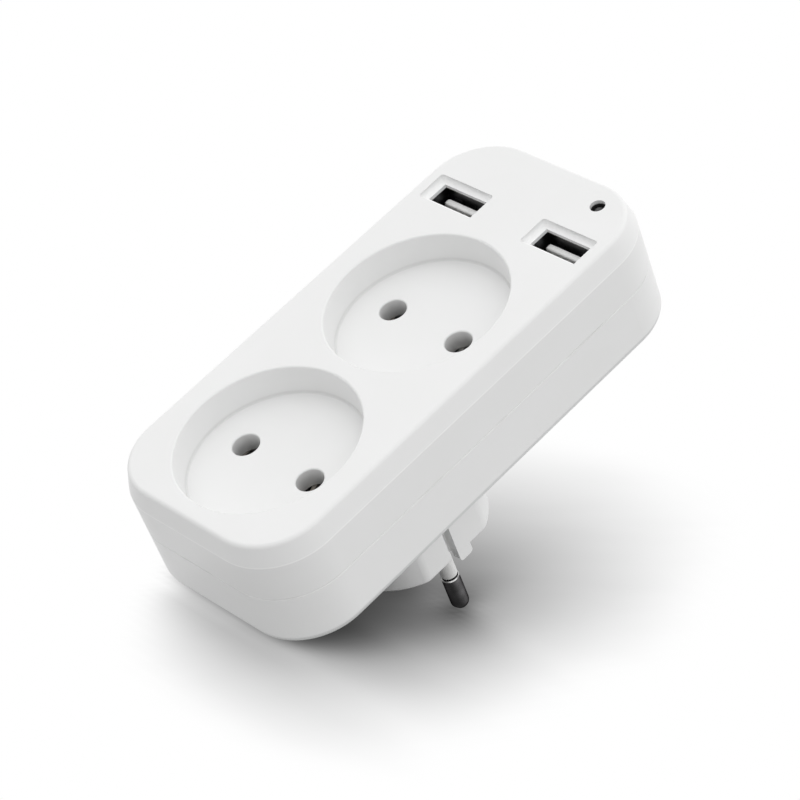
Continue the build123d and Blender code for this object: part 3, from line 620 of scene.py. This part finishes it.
def made_by(recipe, name, finish, sizes, points, lines=(), marks=None):
    """Run a recipe on a guide of points and lines, and keep a plain mesh of what it makes."""
    guide = bpy.data.meshes.new(f"{name}_guide")
    guide.from_pydata(points, lines, [])
    for mark, values in (marks or {}).items():
        guide.attributes.new(mark, "FLOAT", "POINT").data.foreach_set("value", values)
    piece = bpy.data.objects.new(name, guide)
    bpy.context.scene.collection.objects.link(piece)
    modifier = piece.modifiers.new(recipe.tree.name, "NODES")
    modifier.node_group = recipe.tree
    settings = {**sizes, "Finish": finish.material}
    for socket in recipe.tree.interface.items_tree:
        if socket.name in settings:
            modifier[socket.identifier] = settings[socket.name]
    ready = piece.evaluated_get(bpy.context.evaluated_depsgraph_get())
    plain = bpy.data.meshes.new_from_object(ready)
    piece.modifiers.remove(modifier)
    piece.data = plain
    plain.name = name
    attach(piece, "root")


wire = Recipe("bent_wire", ("Wire radius", "Bend radius"))
routes = wire.add("GeometryNodeMeshToCurve", {"Mesh": wire.given["Guide"]}).outputs["Curve"]
bent = wire.add(
    "GeometryNodeFilletCurve",
    {"Curve": routes, "Count": BEND_STEPS, "Radius": wire.given["Bend radius"], "Limit Radius": True},
    mode="POLY",
).outputs["Curve"]
wire.end(wire.swept(bent, wire.ring(WIRE_SIDES, wire.given["Wire radius"])), smooth=True)

wire_points = []
wire_lines = []
wire_feet = []
for node, end, half_spacing, reach in WIRES:
    low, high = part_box(node)
    leaving = 0.5 * (low + high)
    leaving.x = high.x if end > 0 else low.x
    sides = (-1, 1) if half_spacing else (0,)
    for side in sides:
        start = leaving + Vector((0.0, 0.0, side * half_spacing))
        bend = start + Vector((end * reach, 0.0, 0.0))
        wire_feet.append(Vector((bend.x, board_high.y, bend.z)))
        first = len(wire_points)
        wire_points += [start, bend, wire_feet[-1]]
        wire_lines += [(first, first + 1), (first + 1, first + 2)]
tinned = worked_metal("tinned_wire", TIN, WIRE_DULL, rough=0.3, lines=0.3 * MM, clouds=1.5 * MM)
wire_sizes = {"Wire radius": WIRE_RADIUS, "Bend radius": WIRE_BEND}
made_by(wire, "component_leads", tinned, wire_sizes, wire_points, wire_lines)

joint = Recipe("solder_joint", ("Foot radius", "Top radius", "Height"))
stem = joint.line(joint.vector(), joint.vector(Z=joint.given["Height"]), JOINT_RINGS)
hollow = joint.sum("POWER", joint.sum("SUBTRACT", 1.0, joint.run()), JOINT_HOLLOW)
spread = joint.sum("SUBTRACT", joint.given["Foot radius"], joint.given["Top radius"])
girth = joint.sum("MULTIPLY_ADD", hollow, spread, joint.given["Top radius"])
cone = joint.swept(stem, joint.ring(JOINT_SIDES, 1.0), girth)
upright = joint.sum("MULTIPLY", joint.mark("side"), -0.5 * math.pi)
joint.end(joint.set_out(cone, joint.vector(X=upright), joint.mark("size")), smooth=True)

joints = [(wire_foot, 1.0, WIRE_JOINT_SIZE) for wire_foot in wire_feet]
for side in (-1, 1):
    mains_pad = Vector((side * MAINS_PAD_X, board_high.y, MAINS_PAD_Z))
    lamp_pad = Vector((lamp_place.x + side * LAMP_LEG_X, board_low.y, lamp_place.z))
    joints += [(mains_pad, 1.0, MAINS_JOINT_SIZE), (lamp_pad, -1.0, LAMP_JOINT_SIZE)]
joint_points, joint_sides, joint_scales = zip(*joints)
joint_marks = {"side": joint_sides, "size": joint_scales}
joint_sizes = {"Foot radius": JOINT_FOOT, "Top radius": JOINT_TOP, "Height": JOINT_HEIGHT}
solder = worked_metal("solder", SOLDER_BRIGHT, SOLDER_DULL, rough=0.22, lines=0.4 * MM, clouds=0.8 * MM)
made_by(joint, "solder_joints", solder, joint_sizes, joint_points, marks=joint_marks)


# Port shells: folded steel tubes with a black nickel plate that stand on the board behind each opening.
# Leaf springs, two above and two below, are riveted inside each shell and grip a plug that goes in.
SHELL_PALE = (0.1, 0.1, 0.103)
SHELL_DEEP = (0.06, 0.06, 0.062)
DRAWN_INWARDS = (1.0, 0.06, 1.0)
SPRING_FROM_PORT = 3.2 * MM
SPRING_FROM_MIDDLE = 2.5 * MM
SPRING_Y = -37.6 * MM
SPRING_WIDTH = 2.2 * MM
SPRING_THICKNESS = 0.2 * MM
SPRING_LENGTH = 7.0 * MM
SPRING_BOW = 0.42 * MM
SPRING_STEPS = 18


def both(name):
    """The names of a piece that the adapter has on its left and on its right."""
    return f"{name}_left", f"{name}_right"


black_nickel = worked_metal(
    "black_nickel", SHELL_PALE, SHELL_DEEP, rough=0.36, lines=0.12 * MM, clouds=3 * MM, stretch=DRAWN_INWARDS
)
dress(black_nickel, *both("usb_shell"))

spring = Recipe("port_spring", ("Width", "Thickness", "Length", "Bow"))
half_length = spring.sum("MULTIPLY", spring.given["Length"], 0.5)
front_end = spring.vector(Y=spring.sum("MULTIPLY", half_length, -1.0))
flat_leaf = spring.line(front_end, spring.vector(Y=half_length), SPRING_STEPS)
arch = spring.sum("SINE", spring.sum("MULTIPLY", spring.run(), math.pi))
lift = spring.vector(Z=spring.sum("MULTIPLY", arch, spring.given["Bow"]))
leaf = spring.add("GeometryNodeSetPosition", {"Geometry": flat_leaf, "Offset": lift}).outputs["Geometry"]
strip = spring.add(
    "GeometryNodeCurvePrimitiveQuadrilateral",
    {"Width": spring.given["Width"], "Height": spring.given["Thickness"]},
).outputs["Curve"]
turned_over = spring.vector(Y=spring.sum("MULTIPLY", spring.mark("above"), math.pi))
spring.end(spring.set_out(spring.swept(leaf, strip), turned_over), smooth=False)

spring_points = []
spring_above = []
for port_x in (-port_place.x, port_place.x):
    for from_port in (-SPRING_FROM_PORT, SPRING_FROM_PORT):
        for above in (0.0, 1.0):
            spring_z = port_place.z + SPRING_FROM_MIDDLE * (2.0 * above - 1.0)
            spring_points.append(Vector((port_x + from_port, SPRING_Y, spring_z)))
            spring_above.append(above)
spring_sizes = {
    "Width": SPRING_WIDTH,
    "Thickness": SPRING_THICKNESS,
    "Length": SPRING_LENGTH,
    "Bow": SPRING_BOW,
}
spring_marks = {"above": spring_above}
made_by(spring, "port_springs", black_nickel, spring_sizes, spring_points, marks=spring_marks)


# Port tongues: the white insulators in both charging ports, moulded in a glass-filled plastic with
# a dull skin. Each carries four tinned contact springs pressed into its underside.
TONGUE_PALE = (0.97, 0.97, 0.965)
TONGUE_DEEP = (0.945, 0.945, 0.935)
CONTACT_DULL = (0.5, 0.49, 0.46)
ROLLED_INWARDS = (1.0, 0.08, 1.0)

tongue_plastic = moulded_plastic(
    "tongue_plastic", TONGUE_PALE, TONGUE_DEEP, rough=0.42, grain=0.15 * MM, flow=4 * MM, bump=0.35
)
dress(tongue_plastic, *both("usb_tongue"))

contact_tin = worked_metal(
    "contact_tin", TIN, CONTACT_DULL, rough=0.3, lines=0.1 * MM, clouds=1 * MM, stretch=ROLLED_INWARDS
)
dress(contact_tin, *both("usb_contacts"))


# Indicator lamp: a small lamp of smoked clear resin, cast round its two tinned legs.
# It stands on the board and shows its dome in the round hole beside the ports.
RESIN_PALE = (0.075, 0.075, 0.077)
RESIN_DEEP = (0.055, 0.055, 0.056)
LAMP_BACK_Y = -40.1 * MM

resin = moulded_plastic(
    "smoked_resin", RESIN_PALE, RESIN_DEEP, rough=0.1, grain=0.6 * MM, flow=1.2 * MM, bump=0.1
)
resin.bare(TIN, resin.past(resin.y, LAMP_BACK_Y + FINE_EDGE))
dress(resin, "indicator_lamp")


# Plug pins: turned brass with a dark nickel plate, riveted to the contact strips inside the boss.
# A dark neck at the end of each sleeve is painted shade, the turned shoulder after it carries a broken
# painted highlight, and plugging in has worn the tips.
NICKEL_PALE = (0.21, 0.206, 0.21)
NICKEL_DEEP = (0.14, 0.137, 0.14)
NICKEL_EDGE = (0.15, 0.15, 0.15, 1.0)
TURNED = (0.06, 1.0, 0.06)
NECK_Y = (9.2 * MM, 9.8 * MM)
NECK_SHADE = (0.01, 0.01, 0.01)
SHOULDER_Y = (9.8 * MM, 10.0 * MM)
SHOULDER_HIGHLIGHT = (0.8, 0.8, 0.79)
HIGHLIGHT_PATCH_SIZE = 1.43 * MM
HIGHLIGHT_PATCH_SPAN = (0.42, 0.52)
HIGHLIGHT_PATCH_LEAST = 0.25
TIP_Y = (17.4 * MM, 18.9 * MM)
TIP_WORN = (0.16, 0.158, 0.16)

nickel = worked_metal(
    "dark_nickel", NICKEL_PALE, NICKEL_DEEP, rough=0.28, lines=0.08 * MM, clouds=2.5 * MM, stretch=TURNED
)
nickel.shader.inputs["Specular Tint"].default_value = NICKEL_EDGE
# The neck behind each sleeve is painted near black as painted shade.
nickel.over(NECK_SHADE, nickel.between(nickel.y, *NECK_Y))
# The shoulder's bright broken ring is a painted highlight.
shoulder_highlight = nickel.all_of(
    nickel.between(nickel.y, *SHOULDER_Y),
    nickel.fade(nickel.patches(HIGHLIGHT_PATCH_SIZE, detail=1.0), *HIGHLIGHT_PATCH_SPAN, HIGHLIGHT_PATCH_LEAST, 1.0),
)
nickel.over(SHOULDER_HIGHLIGHT, shoulder_highlight)
nickel.over(TIP_WORN, nickel.fade(nickel.y, *TIP_Y))
dress(nickel, *both("plug_pin"))


# Pin sleeves: white insulating tubes moulded over the thin part of each plug pin.
# A harder, slightly glossier plastic than the covers.
TUBE_PALE = (0.86, 0.86, 0.85)
TUBE_DEEP = (0.83, 0.83, 0.82)

sleeve_plastic = moulded_plastic(
    "sleeve_plastic", TUBE_PALE, TUBE_DEEP, rough=0.3, grain=0.3 * MM, flow=8 * MM, bump=0.2
)
dress(sleeve_plastic, *both("pin_sleeve"))


# Contact strips: stamped and folded brass with a spring clip behind each pin hole, riveted to the pins.
# The rolling lines of the sheet run along them. The clips are dipped in tin, which has dulled in patches.
BRASS_PALE = (0.78, 0.56, 0.24)
BRASS_DEEP = (0.62, 0.42, 0.16)
ROLLED_UP = (1.0, 1.0, 0.05)
CLIP_TIN = (0.6, 0.59, 0.57)
CLIP_SPAN = (7.2 * MM, 9.0 * MM)
DULL_SIZE = 3 * MM
DULL_SPAN = (0.35, 0.6)
DULL_LEAST = 0.7

brass = worked_metal(
    "stamped_brass", BRASS_PALE, BRASS_DEEP, rough=0.32, lines=0.15 * MM, clouds=5 * MM, stretch=ROLLED_UP
)
from_hole = brass.away(brass.away(brass.z, sockets_middle), sockets_half)
dipped = brass.all_of(
    brass.fade(from_hole, *CLIP_SPAN, 1.0, 0.0),
    brass.fade(brass.patches(DULL_SIZE, detail=3.0), *DULL_SPAN, DULL_LEAST, 1.0),
)
brass.over(CLIP_TIN, dipped)
dress(brass, *both("contact_strip"))


# Mains leads: stranded copper in red insulation, from the top of each contact strip to the board.
# Both ends are stripped, tinned and soldered.
INSULATION_PALE = (0.4, 0.022, 0.018)
INSULATION_DEEP = (0.33, 0.016, 0.013)
STRIP_END_Z = 29.1 * MM
BOARD_END_Y = -27.3 * MM
BOARD_END_Z = 44.0 * MM

insulation = moulded_plastic(
    "red_insulation", INSULATION_PALE, INSULATION_DEEP, rough=0.4, grain=0.2 * MM, flow=4 * MM, bump=0.4
)
at_strip = insulation.short_of(insulation.z, STRIP_END_Z)
at_board = insulation.all_of(
    insulation.short_of(insulation.y, BOARD_END_Y), insulation.past(insulation.z, BOARD_END_Z)
)
insulation.bare(TIN, insulation.sum("MAXIMUM", at_strip, at_board))
dress(insulation, *both("mains_lead"))


# Rear cover: the shell that carries the plug boss, moulded in the same white plastic as the front.
# It closes the front cover from behind, in a lapped joint round the rim. Its rear edge is greyed as painted
# shade, and the guide grooves of its boss are greyed as painted shade.
EDGE_Y = (-20.5 * MM, -18.55 * MM)
EDGE_SOFT = 0.2 * MM
REAR_EDGE_SHADE = (0.7, 0.71, 0.705)
GROOVE_X = (13.2 * MM, 15.5 * MM)
GROOVE_SOFT = 0.4 * MM
GROOVE_Z = (-2.8 * MM, -0.7 * MM)
GROOVE_Y = (-18.3 * MM, -17.5 * MM)
GROOVE_SHADE = (0.5, 0.5, 0.495)

rear_white = cover_plastic("satin_white_rear")
# The band along the rear edge is greyed as painted shade.
rear_white.over(REAR_EDGE_SHADE, rear_white.between(rear_white.y, *EDGE_Y, EDGE_SOFT))
# The boss's guide grooves are greyed as painted shade.
half_turned_z = rear_white.sum("MULTIPLY", rear_white.z, rear_white.sum("SIGN", rear_white.x))
in_groove = rear_white.all_of(
    rear_white.between(rear_white.away(rear_white.x, 0.0), *GROOVE_X, GROOVE_SOFT),
    rear_white.between(half_turned_z, *GROOVE_Z),
)
behind_back = rear_white.fade(rear_white.y, *GROOVE_Y)
rear_white.over(GROOVE_SHADE, rear_white.all_of(in_groove, behind_back))
dress(rear_white, "rear_cover")


# Cover screws: four zinc-plated steel screws with a cross slot, driven from deep holes in the rear cover
# into posts of the front cover. A coarse rolled thread winds round each shank and cuts into the post.
ZINC_PALE = (0.6, 0.6, 0.61)
ZINC_DEEP = (0.47, 0.47, 0.49)
LOWER_SCREW = (17.5 * MM, -36.0 * MM)
UPPER_SCREW = (20.0 * MM, 38.0 * MM)
THREAD_START_Y = -35.2 * MM
THREAD_ROOT = 1.18 * MM
THREAD_RIDGE = 0.27 * MM
THREAD_PITCH = 1.05 * MM
THREAD_TURNS = 6.0
THREAD_STEPS = 18
THREAD_SIDES = 4
THREAD_TIP = 0.1
THREAD_SWELL = 8.0

zinc = worked_metal("zinc_plate", ZINC_PALE, ZINC_DEEP, rough=0.34, lines=0.2 * MM, clouds=1.2 * MM)
dress(zinc, "cover_screws")

thread = Recipe("screw_thread", ("Root radius", "Ridge", "Pitch", "Turns"))
winding = {
    "Resolution": THREAD_STEPS,
    "Rotations": thread.given["Turns"],
    "Start Radius": thread.given["Root radius"],
    "End Radius": thread.given["Root radius"],
    "Height": thread.sum("MULTIPLY", thread.given["Pitch"], thread.given["Turns"]),
}
coil = thread.add("GeometryNodeCurveSpiral", winding).outputs["Curve"]
coil = thread.add("GeometryNodeSetCurveNormal", {"Curve": coil}, mode="Z_UP").outputs["Curve"]
run = thread.run()
from_end = thread.sum("MINIMUM", run, thread.sum("SUBTRACT", 1.0, run))
swell = thread.sum("MINIMUM", thread.sum("MULTIPLY_ADD", from_end, THREAD_SWELL, THREAD_TIP), 1.0)
ridge = thread.swept(coil, thread.ring(THREAD_SIDES, thread.given["Ridge"]), swell)
thread.end(thread.set_out(ridge, thread.vector(X=-0.5 * math.pi)), smooth=False)

thread_points = [
    Vector((side * screw_x, THREAD_START_Y, screw_z))
    for screw_x, screw_z in (LOWER_SCREW, UPPER_SCREW)
    for side in (-1, 1)
]
thread_sizes = {
    "Root radius": THREAD_ROOT,
    "Ridge": THREAD_RIDGE,
    "Pitch": THREAD_PITCH,
    "Turns": THREAD_TURNS,
}
made_by(thread, "screw_threads", zinc, thread_sizes, thread_points)


# Floor: a smooth white sweep that the adapter lies on, leaning on its pin tips and its lower rear edge.
# Its grey is a painted shadow: rays from each point go towards three soft boxes, which are no lamps in the
# scene, and where the adapter hides most of them the floor is grey and glows little light back up. It shows
# only from above, so nothing hides the adapter from below.
PIN_TIP = Vector((0.0, 19.0, -0.4)) * MM
REAR_EDGE = Vector((0.0, -18.3, -45.0)) * MM
FLOOR_RINGS = 60
FLOOR_GROWTH = 0.065
FLOOR_STEP = 2.0 * MM
WHITE_LIGHT = (1.0, 1.0, 1.0, 1.0)
FLOOR_GAIN = 1.7
FLOOR_DEPTH = 3.0
LIT_SPAN = (0.2, 0.5)
THROWN_SPAN = (0.06, 0.53)
SHADED_REACH = 0.35
RAYS_PER_BOX = 400
RAY_SETS = 8
RAY_SET_SHIFT = 3
RAY_LIFT = 0.02 * MM
GOLDEN_TURN = math.pi * (3.0 - math.sqrt(5.0))
NEIGHBOUR_PART = 0.25
# Each row is the way to a soft box, how tight its light is, and its part of all the light.
SOFT_BOXES = (
    (Vector((0.33, -0.62, -0.71)), 9.2, 0.44),
    (Vector((-0.41, -0.91, 0.05)), 5.8, 0.25),
    (Vector((-0.75, 0.36, 0.55)), 6.1, 0.31),
)
floor_along = (PIN_TIP - REAR_EDGE).normalized()
floor_across = Vector((1.0, 0.0, 0.0))
floor_up = floor_across.cross(floor_along)
floor_middle = 0.5 * (PIN_TIP + REAR_EDGE)


def box_rays(towards, tightness, offset):
    """Directions spread evenly over one soft box, which fades out from its middle."""
    to_box = towards.to_track_quat("Z", "Y")
    rays = []
    for index in range(RAYS_PER_BOX):
        share = (index + 0.5) / RAYS_PER_BOX
        level = 1.0 + math.log(1.0 - share * (1.0 - math.exp(-2.0 * tightness))) / tightness
        width = math.sqrt(max(0.0, 1.0 - level * level))
        turn = index * GOLDEN_TURN + offset
        ray = to_box @ Vector((width * math.cos(turn), width * math.sin(turn), level))
        if ray.dot(floor_up) > 0.0:
            rays.append(ray)
    return rays


def outer_tree():
    """The adapter's outer solids as one set of faces that a ray can be tried against."""
    corners = []
    faces = []
    for name in ("front_cover", "rear_cover", *both("plug_pin"), *both("pin_sleeve")):
        mesh = nodes[name].data
        first = len(corners)
        corners += [vertex.co.copy() for vertex in mesh.vertices]
        faces += [[first + index for index in face.vertices] for face in mesh.polygons]
    return BVHTree.FromPolygons(corners, faces)


adapter = outer_tree()
box_sets = [
    [(box_rays(towards, tightness, turn), part) for towards, tightness, part in SOFT_BOXES]
    for turn in range(RAY_SETS)
]


def lit_level(point, boxes):
    """How bright the floor is at a point, from 0 to 1."""
    open_part = 0.0
    for rays, part in boxes:
        free = sum(adapter.ray_cast(point, ray)[0] is None for ray in rays)
        open_part += part * free / len(rays)
    return min(1.0, FLOOR_GAIN * open_part ** FLOOR_DEPTH)


def smoothed(levels, stride):
    """Each level mixed with its two neighbours, which are this far from it in the list."""
    last = len(levels) - 1
    before = [levels[max(0, index - stride)] for index in range(len(levels))]
    after = [levels[min(last, index + stride)] for index in range(len(levels))]
    own_part = 1.0 - 2.0 * NEIGHBOUR_PART
    return [own_part * own + NEIGHBOUR_PART * (a + b) for a, own, b in zip(before, levels, after)]


steps = [
    FLOOR_STEP / FLOOR_GROWTH * math.sinh(FLOOR_GROWTH * index)
    for index in range(-FLOOR_RINGS, FLOOR_RINGS + 1)
]
row = len(steps)
floor_points = [floor_middle + a * floor_across + b * floor_along for b in steps for a in steps]
floor_faces = [
    (index, index + 1, index + row + 1, index + row)
    for index in range(row * (row - 1))
    if index % row < row - 1
]
floor_lit = [1.0] * len(floor_points)
for index, point in enumerate(floor_points):
    if (point - floor_middle).length < SHADED_REACH:
        boxes = box_sets[(index + RAY_SET_SHIFT * (index // row)) % RAY_SETS]
        floor_lit[index] = lit_level(point + RAY_LIFT * floor_up, boxes)
floor_lit = smoothed(smoothed(floor_lit, 1), row)
floor_mesh = bpy.data.meshes.new("floor")
floor_mesh.from_pydata(floor_points, [], floor_faces)
floor_mesh.attributes.new("lit", "FLOAT", "POINT").data.foreach_set("value", floor_lit)
floor = bpy.data.objects.new("floor", floor_mesh)
bpy.context.scene.collection.objects.link(floor)


def seen_directly(wiring):
    """1 for what the camera sees, straight or in gloss or glass, and 0 for light on its way to a surface."""
    rays = wiring.add("ShaderNodeLightPath").outputs
    gloss = wiring.sum("MAXIMUM", rays["Is Camera Ray"], rays["Is Glossy Ray"])
    return wiring.sum("MAXIMUM", gloss, rays["Is Transmission Ray"])


sweep_material = bpy.data.materials.new("white_sweep")
sweep_material.use_nodes = True
sweep = Wiring(sweep_material.node_tree)
lit = sweep.add("ShaderNodeAttribute", attribute_name="lit").outputs["Fac"]
thrown = sweep.fade(lit, *LIT_SPAN, *THROWN_SPAN)
more_seen = sweep.sum("SUBTRACT", lit, thrown)
level = sweep.sum("MULTIPLY_ADD", more_seen, seen_directly(sweep), thrown)
white = sweep.add("ShaderNodeEmission", {"Color": WHITE_LIGHT, "Strength": level})
clear = sweep.add("ShaderNodeBsdfTransparent")
from_below = sweep.add("ShaderNodeNewGeometry").outputs["Backfacing"]
surface = sweep.add("ShaderNodeMixShader", {0: from_below, 1: white.outputs[0], 2: clear.outputs[0]})
sweep.add("ShaderNodeOutputMaterial", {"Surface": surface.outputs[0]})
floor_mesh.materials.append(sweep_material)


# Studio light: a white tent, brighter above and dim behind, with a broad lamp in front of the wells and
# a little above them. The camera, gloss and glass see plain white behind the part.
TENT_LEVEL = 0.84
TENT_CEILING = 1.03
TENT_SLOPE = Vector((0.01, -0.06, 0.345))
FRONT_LIGHT = Vector((0.0, -0.94, 0.341))
FRONT_LEVEL = 0.63
FRONT_FOCUS = 8.0
BACK_DIM = 0.8

world = bpy.data.worlds.new("white_tent")
bpy.context.scene.world = world
world.use_nodes = True
tent = Wiring(world.node_tree)
sky = tent.add("ShaderNodeTexCoord").outputs["Generated"]
slope = tent.add("ShaderNodeVectorMath", {0: sky, 1: TENT_SLOPE}, operation="DOT_PRODUCT").outputs["Value"]
facing = tent.add("ShaderNodeVectorMath", {0: sky, 1: FRONT_LIGHT}, operation="DOT_PRODUCT").outputs["Value"]
cloth = tent.sum("MINIMUM", tent.sum("ADD", slope, TENT_LEVEL), TENT_CEILING)
cloth = tent.sum("MULTIPLY", cloth, tent.fade(facing, -1.0, 0.0, 1.0 - BACK_DIM, 1.0))
front_lamp = tent.sum("POWER", tent.sum("MAXIMUM", facing, 0.0), FRONT_FOCUS)
cloth = tent.sum("MULTIPLY_ADD", front_lamp, FRONT_LEVEL, cloth)
lighting = tent.add("ShaderNodeBackground", {"Color": WHITE_LIGHT, "Strength": cloth})
backdrop = tent.add("ShaderNodeBackground", {"Color": WHITE_LIGHT})
shown = tent.add(
    "ShaderNodeMixShader", {0: seen_directly(tent), 1: lighting.outputs[0], 2: backdrop.outputs[0]}
)
tent.add("ShaderNodeOutputWorld", {"Surface": shown.outputs[0]})
bpy.context.scene.view_settings.view_transform = "Standard"


# Camera: the photograph's own viewpoint, low in front of the lower right corner, through a long lens.
# Its place and turn fit the four pin holes and the body's outline.
CAMERA_PLACE = Vector((400.58, -441.9, -221.09)) * MM
CAMERA_TURN = (120.46514, -42.71206, 22.32217)
CAMERA_SENSOR = 36.0
CAMERA_LENS = 139.45
CAMERA_REACH = (0.01, 10.0)

camera_data = bpy.data.cameras.new("camera")
camera_data.sensor_width = CAMERA_SENSOR
camera_data.lens = CAMERA_LENS
camera_data.clip_start, camera_data.clip_end = CAMERA_REACH
camera = bpy.data.objects.new("camera", camera_data)
camera_turn = Euler([math.radians(angle) for angle in CAMERA_TURN])
camera.matrix_world = Matrix.Translation(CAMERA_PLACE) @ camera_turn.to_matrix().to_4x4()
bpy.context.scene.collection.objects.link(camera)
bpy.context.scene.camera = camera
